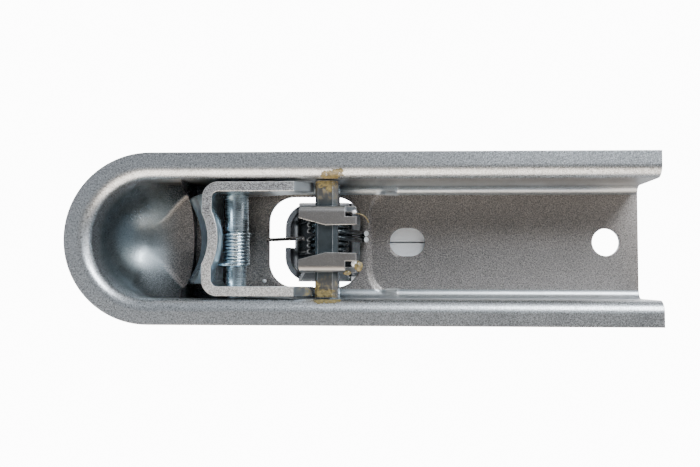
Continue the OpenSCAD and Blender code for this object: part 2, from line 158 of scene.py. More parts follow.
class Net:
    """Adds nodes to one material's or world's tree."""

    def __init__(self, tree):
        self.tree = tree
        tree.nodes.clear()

    def node(self, kind, settings=None, values=None, out=0):
        """Adds a node, its settings set first, then its sockets' values or links; gives one output."""
        made = self.tree.nodes.new(kind)
        for key, value in (settings or {}).items():
            if key == "stops":
                self.set_stops(made.color_ramp, value)
            else:
                setattr(made, key, value)
        for key, value in (values or {}).items():
            self.feed(self.socket(made.inputs, key), value)
        if not made.outputs:
            return None
        return Term(self, self.socket(made.outputs, out))

    @staticmethod
    def socket(sockets, key):
        if isinstance(key, int):
            return sockets[key]
        return next(s for s in sockets if s.name == key and s.enabled)

    @staticmethod
    def set_stops(ramp, stops):
        while len(ramp.elements) < len(stops):
            ramp.elements.new(1.0)
        for element, (place, colour) in zip(ramp.elements, stops):
            element.position = place
            element.color = (*colour, 1.0)

    def feed(self, socket, value):
        if isinstance(value, Term):
            self.tree.links.new(value.socket, socket)
        elif hasattr(value, "__len__") and len(value) == 3 and socket.type == "RGBA":
            socket.default_value = (*value, 1.0)
        else:
            socket.default_value = value

    def mix(self, share, first, second):
        """Blends two colours."""
        return self.node("ShaderNodeMix", {"data_type": "RGBA"},
                         {"Factor": share, "A": first, "B": second}, out="Result")

    def layered(self, tone, *layers):
        """A colour with others laid over it in turn, each given after its share."""
        for share, colour in layers:
            tone = self.mix(share, tone, colour)
        return tone

    def vector_math(self, operation, *values, out=0):
        return self.node("ShaderNodeVectorMath", {"operation": operation}, dict(enumerate(values)), out)

    def unit(self, vector):
        """A vector's direction, at unit length."""
        return self.vector_math("NORMALIZE", vector)

    def blend(self, share, first, second):
        """Blends two directions and gives the result unit length."""
        return self.unit(self.node("ShaderNodeMix", {"data_type": "VECTOR"},
                                   {"Factor": share, "A": first, "B": second}, out="Result"))

    def dot(self, first, second):
        return self.vector_math("DOT_PRODUCT", first, second, out="Value")

    def vector(self, *parts):
        return self.node("ShaderNodeCombineXYZ", None, dict(enumerate(parts)))

    def axes(self, vector):
        """A vector's three parts."""
        parts = self.node("ShaderNodeSeparateXYZ", None, {0: vector}).socket.node.outputs
        return [Term(self, part) for part in parts]

    def stretched(self, vector, factors):
        """A vector with its three parts scaled one by one."""
        return self.vector_math("MULTIPLY", vector, factors)

    def place(self):
        """The surface point in millimetres, in the part's own frame."""
        at = self.node("ShaderNodeTexCoord", out="Object")
        return self.node("ShaderNodeVectorMath", {"operation": "SCALE"}, {0: at, "Scale": 1 / MM})

    def normal(self):
        """The surface normal in the part's own frame."""
        return self.node("ShaderNodeTexCoord", out="Normal")

    def upward(self):
        """1 where the surface faces straight up, -1 where it faces straight down."""
        return self.axes(self.normal())[2]

    def grain(self, vector, size, detail=3.0, roughness=0.55):
        """Noise whose lumps are about size millimetres across, from 0 to 1."""
        return self.node("ShaderNodeTexNoise", None, {
            "Vector": vector, "Scale": 1 / size, "Detail": detail, "Roughness": roughness})

    def bump(self, height, depth_mm, normal=None):
        values = {"Height": height, "Strength": 1.0, "Distance": depth_mm * MM}
        if normal is not None:
            values["Normal"] = normal
        return self.node("ShaderNodeBump", None, values)

    def soft_edge(self, radius_mm):
        """The normal with sharp edges rounded over a radius."""
        return self.node("ShaderNodeBevel", {"samples": 4}, {"Radius": radius_mm * MM})

    def rim(self, radius_mm):
        """1 along sharp edges, within about a radius of them, and 0 elsewhere."""
        return self.dot(self.soft_edge(radius_mm), self.normal()).step(0.995, 0.9)

    def inward(self, vector):
        """1 where the surface faces against a vector from the middle, as inside a hollow, else 0."""
        return self.dot(vector, self.normal()).step(1.0, -1.0)

    def surface(self, values):
        """Ends the tree with one plain shader."""
        shader = self.node("ShaderNodeBsdfPrincipled", None, values)
        self.node("ShaderNodeOutputMaterial", None, {"Surface": shader})


def new_material(name):
    """A material with its own empty tree, and the net that fills it."""
    made = bpy.data.materials.new(name)
    made.use_nodes = True
    return made, Net(made.node_tree)


def dress(node, material):
    """Gives a CAD node its finish in place of the plain colour it came with."""
    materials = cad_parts[node].data.materials
    materials.clear()
    materials.append(material)


# Finishes, with the tones that aren't among the settings

WHITE = (1.0, 1.0, 1.0)
GLINT = (0.85, 0.87, 0.89)
EDGE_HIGHLIGHT = (0.98, 0.98, 0.98)
EDGE_SHADE = (0.03, 0.03, 0.03)
STAIN = (0.10, 0.095, 0.09)
RUST = (0.05, 0.045, 0.04)
DUST = (0.24, 0.23, 0.2)
BROWN_STEEL = (0.2, 0.185, 0.17)
BAR_EDGE_HIGHLIGHT = (0.8, 0.83, 0.85)
CAP_SHADOW = (0.02, 0.025, 0.03)
DRY_GREASE = (0.4, 0.35, 0.2)


def shade(colour, factor):
    """A colour made darker by a factor under 1, or lighter by one over 1."""
    return tuple(min(1.0, part * factor) for part in colour)


def fan_normal(net, x, y, z, nz, inside):
    """The pressing's normal, with the crease between the dome's fan and the web drawn soft."""
    start = -SOCKET_R * math.sin(FAN_ANGLE)
    slope = math.tan(FAN_ANGLE)
    spread = (y * y + z * z).root()
    to_cone = (x - start) * slope + SOCKET_R * math.cos(FAN_ANGLE) - spread
    to_web = LATCH_WEB_Z - z
    wide, narrow = 8.0, 1.4
    crease_w = wide - (wide - narrow) * abs(y).step(1.0, 13.0)
    share = 0.5 + 0.5 * (to_cone / crease_w).step(0.0, 1.0) - 0.5 * (to_web / crease_w).step(0.0, 1.0)
    cone = net.unit(net.vector(slope, (y / spread) * -1, (z / spread) * -1))
    crease = net.blend(share, cone, (0.0, 0.0, -1.0))
    near_fan = (inside * x.within(start, FAN_END_X + 2.0, 4.0)
                * z.step(12.0, 16.0) * nz.step(-0.02, -0.12))
    round_opening = x.within(*OPENING_X, 6.0) * z.step(LATCH_WEB_Z - 3.5, LATCH_WEB_Z - 1.0)
    edges = net.blend(round_opening, net.soft_edge(0.5), net.soft_edge(2.4))
    return net.blend(near_fan * to_cone.step(-0.5, -0.2), edges, crease)


def plated_sheet(look):
    """Matte zinc of the pressing: grain, stains and rust, a bluish dome and fan darker partly as painted
    shade, painted shade and highlights in places, and a dull brownish web.
    """
    material, net = new_material("plated_sheet")
    at = net.place()
    x, y, z = net.axes(at)
    nz = net.upward()
    zinc, dome, web = look.zinc, look.dome, look.web
    grain_mm = look.grain_size / MM
    fine = net.grain(at, grain_mm, 2.0, 0.75)
    pits = net.grain(at, grain_mm * 1.3, 2.0, 0.7).step(0.52, 0.66)
    cloud = net.grain(at, 14.0, 3.0)
    streak = net.grain(net.stretched(at, (0.12, 1.0, 1.0)), 2.2, 3.0)
    stain = net.grain(at, 5.0, 5.0, 0.65).step(0.62, 0.78)

    # Where each look belongs
    inside = net.inward(net.stretched(at, (0.0, 1.0, 1.0)))
    inner = z.step(-5.0, 3.0) * nz.step(0.6, 0.3) * inside
    from_centre = (x * x + y * y + z * z).root()
    hollow = from_centre.step(SOCKET_R + 1.3, SOCKET_R + 0.3) * x.step(3.0, -3.0) * z.step(0.0, 5.0)
    flat_web = (z.step(LATCH_WEB_Z - 2.0, LATCH_WEB_Z - 0.5) * nz.step(-0.4, -0.6)
                * x.step(-8.0, 6.0) * abs(y).step(WEB_EDGE_Y + 0.5, WEB_EDGE_Y))
    rear = x.step(60.0, REAR_X)
    before_end = x.step(FAN_END_X, FAN_END_X - 8.0)
    fan = inner * z.step(4.0, 9.0) * before_end * (1 - flat_web)
    # Where shade is painted in the fan's corners beside the dome
    corner = fan * x.step(-9.0, 4.0) * abs(y).step(12.0, 21.0)
    low_fan_shade = fan * x.step(-14.0, -11.0) * y.step(7.0, 17.0)
    dull_fan = inside * z.step(8.0, 14.0) * y.step(1.0, 6.0) * x.step(-13.0, -9.0) * before_end
    panel_corner = (inside * x.within(103.0, 111.0, 2.0) * abs(y).step(WEB_EDGE_Y - 0.5, WEB_EDGE_Y + 0.3)
                    * z.step(LATCH_WEB_Z - 1.5, LATCH_WEB_Z + 0.5))
    rust = net.grain(at, 2.0, 5.0, 0.7).step(0.6, 0.72) * x.step(-3.0, 2.0) * x.step(12.0, 6.0) * hollow
    speckled = 0.8 - 0.6 * inner + 0.45 * flat_web

    tone = net.layered(
        zinc,
        (cloud.step(0.35, 0.7), shade(zinc, 0.86)),
        # Painted shade: the pressing darker towards its rear end
        (rear * 0.6, shade(zinc, 0.62)),
        # Walls, fan and hollow take the dome's bluish colour, darker than the zinc partly as painted shade
        (inner * (0.6 - 0.6 * rear), dome),
        (fan, dome),
        (hollow, dome),
        # Painted shade in the fan's corners
        (corner * 0.95, shade(dome, 0.12)),
        # Painted shade on the fan's low side, dimming the crease's highlight
        (low_fan_shade * 0.85, shade(dome, 0.22)),
        # The web's own dull colour, lighter towards the open rear end as painted light
        (flat_web, net.mix(x.step(95.0, REAR_X), web, shade(web, 1.3))),
        (fine.step(0.45, 0.6) * (speckled + 0.2 * flat_web) * 0.75,
         net.mix(flat_web, shade(zinc, 1.9), shade(web, 3.0))),
        (pits * speckled * 0.8, shade(zinc, 0.2)),
        # Painted shade along the web's sharp edges
        (net.rim(0.5) * flat_web * 0.6, EDGE_SHADE),
        # Painted highlight on the corners of the raised panel
        (panel_corner * 0.8, GLINT),
        (stain * 0.3, STAIN),
        (rust * 0.5, RUST),
    )
    rough = 0.25 + 0.16 * fine + 0.08 * cloud + 0.10 * flat_web - 0.07 * hollow + 0.2 * dull_fan
    height = (fine * 0.6 + streak * 0.25) * (1 - 0.6 * hollow)
    net.surface({
        "Base Color": tone, "Metallic": 1.0, "Roughness": rough,
        "Normal": net.bump(height, 0.05, fan_normal(net, x, y, z, nz, inside)),
    })
    return material


def sheared_jaw(look):
    """Jaw strap: bluish plated faces, a bright, torn grain on the sheared edge below that is painted
    lighter on one side, painted highlights along its rims and painted shade on the slanted tips.
    """
    material, net = new_material("sheared_jaw")
    at = net.place()
    x, y, z = net.axes(at)
    nz = net.upward()
    fine = net.grain(at, 0.45, 3.0, 0.8)
    cloud = net.grain(at, 9.0, 3.0)
    edge = nz.step(-0.9, -0.97) * z.step(3.0, -1.0)
    tip = x.step(62.0, 65.0) * nz.step(-0.5, -0.8)
    smear = x.step(64.4, 69.4) * y.step(16.0, 21.0) * net.grain(at, 1.6, 4.0).step(0.45, 0.6)
    # Painted light: the torn edge lighter on one side of the jaw than the other
    lit_side = y.step(-16.0, 18.0)
    torn = net.layered(
        net.mix(lit_side, (0.16, 0.16, 0.17), (0.4, 0.4, 0.41)),
        (fine.step(0.42, 0.6), net.mix(lit_side, (0.62, 0.64, 0.67), WHITE)),
        # Painted highlight along the sharp edges
        (net.rim(0.6) * 0.9, WHITE),
    )
    tone = net.layered(
        look.blue_zinc,
        (cloud.step(0.3, 0.7), shade(look.blue_zinc, 0.8)),
        # Painted shade on the slanted tips of the arms
        (tip * 0.75, (0.12, 0.12, 0.125)),
        (edge, torn),
        (smear * 0.8, look.grease),
    )
    rough = 0.22 + 0.14 * cloud + 0.16 * edge
    height = fine * (0.25 + edge * 1.2)
    net.surface({
        "Base Color": tone, "Metallic": 1.0 - 0.8 * smear, "Roughness": rough,
        "Normal": net.bump(height, 0.06, net.soft_edge(0.45)),
    })
    return material


def turned_steel(look):
    """Plated pins and sleeves, with fine rings from turning."""
    material, net = new_material("turned_steel")
    at = net.place()
    rings = net.grain(net.stretched(at, (0.05, 1.0, 0.05)), 0.5, 3.0, 0.7)
    cloud = net.grain(at, 4.0, 3.0)
    tone = net.layered(
        look.blue_zinc,
        (cloud.step(0.35, 0.7), shade(look.blue_zinc, 0.75)),
        (rings.step(0.5, 0.75) * 0.3, (0.85, 0.88, 0.9)),
    )
    net.surface({
        "Base Color": tone, "Metallic": 1.0, "Roughness": 0.2 + 0.14 * rings,
        "Normal": net.bump(rings, 0.02, net.soft_edge(0.3)),
    })
    return material


def lever_plate(look):
    """Bright plated lever: mottled warm tabs, painted shadow under its cap, a handle painted near white as
    painted light, a speckled outside.
    """
    material, net = new_material("lever_plate")
    at = net.place()
    x, _, z = net.axes(at)
    nz = net.upward()
    fine = net.grain(at, 0.4, 3.0, 0.75)
    cloud = net.grain(at, 6.0, 4.0)
    speckle = net.grain(at, look.grain_size / MM, 2.0, 0.75)
    inside = net.inward(net.vector_math("SUBTRACT", at, tuple(LEVER_PIN)))
    tab = z.step(-3.0, -4.5) * nz.step(-0.6, -0.95)
    # Painted light: the handle's underside, in shade under the housing, is made near white and hardly
    # metallic
    handle = x.step(HANDLE_X - 1.0, HANDLE_X) * z.step(20.0, 24.0) * nz.step(-0.2, -0.6)
    under_cap = inside * x.step(60.0, 61.5) * x.step(HANDLE_X, HANDLE_X - 1.0) * z.step(8.0, 14.0)
    outer = (1 - inside) * z.step(20.0, 26.0)
    tone = net.layered(
        look.zinc,
        (cloud.step(0.35, 0.7), shade(look.zinc, 0.84)),
        (tab * 0.9, look.tab),
        (under_cap * 0.85, CAP_SHADOW),
        # Painted light on the handle
        (handle, net.mix(cloud, (0.92, 0.93, 0.95), (0.98, 0.98, 0.99))),
        (fine.step(0.5, 0.72) * 0.3, (0.6, 0.6, 0.61)),
        (outer * speckle.step(0.55, 0.42) * 0.6, shade(look.zinc, 0.45)),
        # Painted highlight along the sharp edges, kept off the handle
        (net.rim(0.4) * 0.75 * (1 - handle), EDGE_HIGHLIGHT),
    )
    rough = 0.2 + 0.12 * cloud + 0.12 * tab + 0.08 * fine + 0.2 * handle + 0.12 * outer
    net.surface({
        "Base Color": tone, "Metallic": 1.0 - 0.95 * handle, "Roughness": rough,
        "Normal": net.bump(fine * 0.5 + cloud * 0.8, 0.05, net.soft_edge(0.5)),
    })
    return material


def bare_bar(look):
    """Rolled steel of the lock bar, smeared with grease towards its ends, with painted highlights along its
    edges.
    """
    material, net = new_material("bare_bar")
    at = net.place()
    _, y, _ = net.axes(at)
    fine = net.grain(net.stretched(at, (1.0, 0.35, 1.0)), 0.5, 4.0, 0.75)
    cloud = net.grain(at, 5.0, 4.0)
    threads = net.grain(net.stretched(at, (1.0, 0.5, 1.0)), 1.4, 5.0, 0.6).step(0.5, 0.62)
    ends = abs(y).step(14.0, 21.0)
    smear = ends * threads * 0.7
    tone = net.layered(
        look.bar,
        (cloud.step(0.3, 0.7), shade(look.bar, 0.7)),
        (ends * 0.7, BROWN_STEEL),
        # Painted highlight along the bar's sharp edges
        (net.rim(0.4) * 0.6, BAR_EDGE_HIGHLIGHT),
        (smear * 0.75, look.grease),
    )
    net.surface({
        "Base Color": tone, "Metallic": 1.0 - 0.85 * smear, "Roughness": 0.3 + 0.15 * fine,
        "Normal": net.bump(fine * 0.6 + smear * 0.8, 0.06, net.soft_edge(0.5)),
    })
    return material


def zinc_wire(look):
    """Drawn and plated spring wire."""
    material, net = new_material("zinc_wire")
    at = net.place()
    cloud = net.grain(at, 2.5, 3.0)
    net.surface({
        "Base Color": net.mix(cloud.step(0.35, 0.7), look.blue_zinc, shade(look.blue_zinc, 0.7)),
        "Metallic": 1.0, "Roughness": 0.16 + 0.12 * cloud,
        "Normal": net.bump(net.grain(at, 0.4, 2.0), 0.015),
    })
    return material


def oiled_wire(colour):
    """Spring wire, wet with oil and a little dusty."""
    material, net = new_material("oiled_wire")
    at = net.place()
    cloud = net.grain(at, 2.2, 4.0)
    dust = net.grain(at, 0.7, 4.0, 0.7).step(0.6, 0.75)
    tone = net.layered(colour, (cloud.step(0.35, 0.7), shade(colour, 0.45)), (dust * 0.35, DUST))
    net.surface({
        "Base Color": tone, "Metallic": 0.85, "Roughness": 0.26 + 0.3 * dust,
        "Coat Weight": 0.6, "Coat Roughness": 0.12,
        "Normal": net.bump(net.grain(at, 0.5, 3.0), 0.02),
    })
    return material


def cut_steel():
    """Bright sheared ends of the spring wire, and the beads: bare steel, made pale and partly non-metal as
    painted highlight.
    """
    material, net = new_material("cut_steel")
    fine = net.grain(net.place(), 0.3, 3.0, 0.7)
    net.surface({
        # Pale, part non-metal colour: bright bare steel with a painted highlight
        "Base Color": net.mix(fine, (0.6, 0.62, 0.64), (0.95, 0.96, 0.97)), "Metallic": 0.35,
        "Roughness": 0.25 + 0.2 * fine, "Normal": net.bump(fine, 0.05),
    })
    return material


def amber_grease(look):
    """Old yellow grease: thin and clear at its rim, thicker and darker in its lumps."""
    material, net = new_material("amber_grease")
    at = net.place()
    lumps = net.grain(at, 1.1, 4.0, 0.6)
    fibres = net.grain(net.stretched(at, (0.5, 1.6, 1.0)), 0.9, 5.0, 0.75)
    depth = net.node("ShaderNodeAttribute", {"attribute_name": "depth"}, out="Fac")
    tone = net.layered(
        look.grease,
        (lumps.step(0.35, 0.7), shade(look.grease, 0.4)),
        (fibres.step(0.56, 0.7) * 0.5, DRY_GREASE),
    )
    net.surface({
        "Base Color": tone, "Roughness": 0.16 + 0.2 * lumps,
        "Alpha": (depth * 1.5 + (fibres - 0.5) * 2.0 - 0.3).clipped(),
        "Normal": net.bump(lumps * 0.8 + fibres * 0.4, 0.15),
    })
    return material


# Mesh building

UPWARD = Vector((0, 0, 1))


def finished(name, mesh_in_progress, body, slot, *materials):
    """Turns a bmesh into a smooth object that rides on a body."""
    data = bpy.data.meshes.new(name)
    mesh_in_progress.to_mesh(data)
    mesh_in_progress.free()
    for polygon in data.polygons:
        polygon.use_smooth = True
    made = bpy.data.objects.new(name, data)
    bpy.context.scene.collection.objects.link(made)
    for material in materials:
        data.materials.append(material)
    if body:
        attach(made, body)
    return made


def eased(points, times=3):
    """Cuts the corners of a route, keeping its two ends."""
    points = [Vector(p) for p in points]
    for _ in range(times):
        cut = [points[0]]
        for a, b in zip(points, points[1:]):
            cut += [a.lerp(b, 0.25), a.lerp(b, 0.75)]
        points = cut + [points[-1]]
    return points


def turns(centre, radius, y_start, pitch, count, angle, steps=28):
    """Points of a coil round an axis along Y."""
    found = []
    for i in range(int(steps * count) + 1):
        a = math.radians(angle - 360 * i / steps)
        found.append(Vector((centre.x + radius * math.cos(a), y_start + pitch * i / steps,
                             centre.z + radius * math.sin(a))))
    return found


def wire_mesh(route, radius, sides=14, slant=0.0):
    """A round wire swept along a route in millimetres, its cut ends in the second material.

    A slant shears the first end, so that its cut face is seen from below.
    """
    made = bmesh.new()
    side = (route[1] - route[0]).orthogonal().normalized()
    last = len(route) - 1
    rings = []
    for i, point in enumerate(route):
        along = (route[min(i + 1, last)] - route[max(i - 1, 0)]).normalized()
        side = (side - along * side.dot(along)).normalized()
        up = along.cross(side)
        rings.append([
            made.verts.new((point + radius * (side * math.cos(a) + up * math.sin(a))) * MM)
            for a in (2 * math.pi * k / sides for k in range(sides))
        ])
    outward = (route[0] - route[1]).normalized()
    for vert in rings[0]:
        vert.co += outward * slant * (vert.co.z - route[0].z * MM)
    for first, second in zip(rings, rings[1:]):
        for k in range(sides):
            made.faces.new((first[k], first[(k + 1) % sides], second[(k + 1) % sides], second[k]))
    for ring, point, flip in ((rings[0], route[0], True), (rings[-1], route[-1], False)):
        tip = made.verts.new(point * MM)
        for k in range(sides):
            corners = (ring[k], ring[(k + 1) % sides], tip)
            made.faces.new(corners[::-1] if flip else corners).material_index = 1
    bmesh.ops.recalc_face_normals(made, faces=made.faces)
    return made


def surface_tree(node):
    """A ray-cast tree of a CAD node, in millimetres."""
    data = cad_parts[node].data
    points = [v.co / MM for v in data.vertices]
    return BVHTree.FromPolygons(points, [list(p.vertices) for p in data.polygons])


def film(name, body, node, ceiling, spots, material, step=0.3):
    """Grease draped from below on a node, under a height, thickest in the middle of its spots."""
    tree = surface_tree(node)
    made = bmesh.new()
    depth_layer = made.verts.layers.float.new("depth")
    low_x = min(x - rx for x, _, rx, _, _ in spots)
    high_x = max(x + rx for x, _, rx, _, _ in spots)
    low_y = min(y - ry for _, y, _, ry, _ in spots)
    high_y = max(y + ry for _, y, _, ry, _ in spots)
    grid = {}
    for i in range(int((high_x - low_x) / step) + 1):
        for k in range(int((high_y - low_y) / step) + 1):
            x, y = low_x + i * step, low_y + k * step
            cover, depth = max(
                (1 - ((x - sx) / rx) ** 2 - ((y - sy) / ry) ** 2, deep) for sx, sy, rx, ry, deep in spots)
            amount = cover + 0.75 * noise.fractal(Vector((x, y, 3.7)) * 0.55, 0.6, 2.1, 5)
            if amount <= 0:
                continue
            hit = tree.ray_cast(Vector((x, y, LIPS_Z - 5)), UPWARD)[0]
            if hit is None or hit.z > ceiling:
                continue
            lumpy = 0.55 + 0.45 * noise.noise(Vector((x, y, 9.1)) * 1.3)
            thick = 0.03 + depth * min(1.0, amount) * lumpy
            vert = made.verts.new(Vector((x, y, hit.z - thick)) * MM)
            vert[depth_layer] = min(1.0, amount * 1.2)
            grid[i, k] = vert
    for i, k in grid:
        corners = [grid.get(at) for at in ((i, k), (i, k + 1), (i + 1, k + 1), (i + 1, k))]
        if None in corners:
            continue
        heights = [corner.co.z for corner in corners]
        if max(heights) - min(heights) < 2 * MM:
            made.faces.new(corners)
    bmesh.ops.delete(made, geom=[v for v in made.verts if not v.link_faces], context="VERTS")
    for _ in range(2):
        bmesh.ops.smooth_vert(made, verts=made.verts, factor=0.3, use_axis_z=True)
    return finished(name, made, body, "housing_zinc", material)


def lump(name, body, centre, radii, material, uneven=0.25):
    """A small uneven blob."""
    made = bmesh.new()
    bmesh.ops.create_icosphere(made, subdivisions=4, radius=1.0)
    depth_layer = made.verts.layers.float.new("depth")
    for vert in made.verts:
        swell = 1 + uneven * noise.fractal(vert.co * 1.4 + Vector(centre), 0.7, 2.0, 4)
        vert.co = Vector([(c + v * r * swell) * MM for c, v, r in zip(centre, vert.co, radii)])
        vert[depth_layer] = 1.0
    return finished(name, made, body, "housing_zinc", material)


# Settings

class CouplerStage(bpy.types.PropertyGroup):
    """Camera, floor and light."""

    camera_at: bpy.props.FloatVectorProperty(
        name="Camera place", description="Where the camera stands", size=3, subtype="TRANSLATION",
        unit="LENGTH", default=(0.1075, 0.01764, -0.37562))
    camera_aim: bpy.props.FloatVectorProperty(
        name="Camera aim", description="Direction the camera looks along", size=3, subtype="DIRECTION",
        default=(-0.0511, -0.0539, 1.0))
    lens: bpy.props.FloatProperty(
        name="Lens", description="Focal length on a 36 mm wide sensor", default=43.42, unit="CAMERA")
    floor_colour: bpy.props.FloatVectorProperty(
        name="Floor", description="Colour of the plain floor", size=3, subtype="COLOR",
        default=(0.82, 0.82, 0.81))
    floor_size: bpy.props.FloatProperty(
        name="Floor size", description="Side of the square floor", default=6.0, unit="LENGTH")
    backdrop: bpy.props.FloatProperty(
        name="Backdrop", description="Brightness of the white surroundings that the camera sees",
        default=12.5)
    key: bpy.props.FloatProperty(
        name="Key light", description="Power of the main soft light", default=12.5, unit="POWER")
    fill: bpy.props.FloatProperty(
        name="Fill light", description="Power of the warm fill", default=17.0, unit="POWER")
    side: bpy.props.FloatProperty(
        name="Side light", description="Power of the light beyond the open end", default=2.0, unit="POWER")
    top: bpy.props.FloatProperty(
        name="Top light", description="Power of the light over the part", default=6.0, unit="POWER")


class CouplerLook(bpy.types.PropertyGroup):
    """Colours and grain of the finishes."""

    zinc: bpy.props.FloatVectorProperty(
        name="Zinc", description="Colour of the plated sheet", size=3, subtype="COLOR",
        default=(0.43, 0.45, 0.475))
    blue_zinc: bpy.props.FloatVectorProperty(
        name="Bluish zinc", description="Colour of the plated jaw, pins and wire", size=3, subtype="COLOR",
        default=(0.52, 0.61, 0.67))
    # The dome's colour is darker than the zinc partly as painted shade inside the hollow
    dome: bpy.props.FloatVectorProperty(
        name="Dome", description="Colour inside the ball's dome and on the walls", size=3, subtype="COLOR",
        default=(0.30, 0.345, 0.375))
    web: bpy.props.FloatVectorProperty(
        name="Web", description="Colour of the dull flat web inside", size=3, subtype="COLOR",
        default=(0.19, 0.177, 0.171))
    tab: bpy.props.FloatVectorProperty(
        name="Tabs", description="Colour of the worn tabs", size=3, subtype="COLOR",
        default=(0.17, 0.16, 0.155))
    bar: bpy.props.FloatVectorProperty(
        name="Lock bar", description="Colour of the rolled bar", size=3, subtype="COLOR",
        default=(0.095, 0.115, 0.128))
    oiled: bpy.props.FloatVectorProperty(
        name="Oiled wire", description="Colour of the oiled springs", size=3, subtype="COLOR",
        default=(0.02, 0.03, 0.036))
    worn_wire: bpy.props.FloatVectorProperty(
        name="Worn wire", description="Colour of the hook's worn wire", size=3, subtype="COLOR",
        default=(0.2, 0.175, 0.165))
    grease: bpy.props.FloatVectorProperty(
        name="Grease", description="Colour of the old grease", size=3, subtype="COLOR",
        default=(0.235, 0.185, 0.08))
    grain_size: bpy.props.FloatProperty(
        name="Grain", description="Size of the zinc's grain", default=0.00055, unit="LENGTH")


class CouplerWires(bpy.types.PropertyGroup):
    """Sizes of the wound springs and the hook."""

    jaw_wire: bpy.props.FloatProperty(
        name="Jaw spring wire", description="Wire thickness of the jaw's spring", default=0.0015,
        unit="LENGTH")
    jaw_turns: bpy.props.FloatProperty(
        name="Jaw spring turns", description="Turns of the jaw's spring", default=9.25)
    lever_wire: bpy.props.FloatProperty(
        name="Lever spring wire", description="Wire thickness of the lever's springs", default=0.0026,
        unit="LENGTH")
    lever_turns: bpy.props.FloatProperty(
        name="Lever spring turns", description="Turns of each lever spring", default=2.25)
    lever_coil: bpy.props.FloatProperty(
        name="Lever spring coil", description="Radius of the lever springs' coils", default=0.0086,
        unit="LENGTH")
    hook_wire: bpy.props.FloatProperty(
        name="Hook wire", description="Thickness of the wire hook", default=0.0017, unit="LENGTH")


# Operators, with the places and sizes that each uses before it

# Each light's place, the point it aims at and its two sides, in metres, then its colour
LIGHTS = {
    "key": ((0.45, -0.54, -0.55), (0.09, 0.0, 0.0), (0.34, 0.34), (0.93, 0.97, 1.0)),
    "fill": ((0.05, 0.72, -0.42), (0.09, 0.0, 0.0), (1.2, 0.85), (1.0, 0.87, 0.72)),
    "side": ((0.9, -0.3, -0.3), (0.03, 0.0, 0.0), (0.4, 0.3), WHITE),
    "top": ((0.35, -0.5, 0.95), (0.09, 0.0, 0.02), (0.9, 0.9), WHITE),
}

# The light tent's colours, from straight below (0) to straight above (1)
TENT = [
    (0.0, (0.11, 0.12, 0.13)),
    (0.2, (0.2, 0.21, 0.22)),
    (0.5, (0.80, 0.83, 0.86)),
    (1.0, (0.9, 0.9, 0.9)),
]
TENT_NOSE = (0.50, 0.54, 0.58)

# The width of the camera's sensor and the floor's drop below the lips, in millimetres
SENSOR_W = 36.0
FLOOR_GAP = 0.05


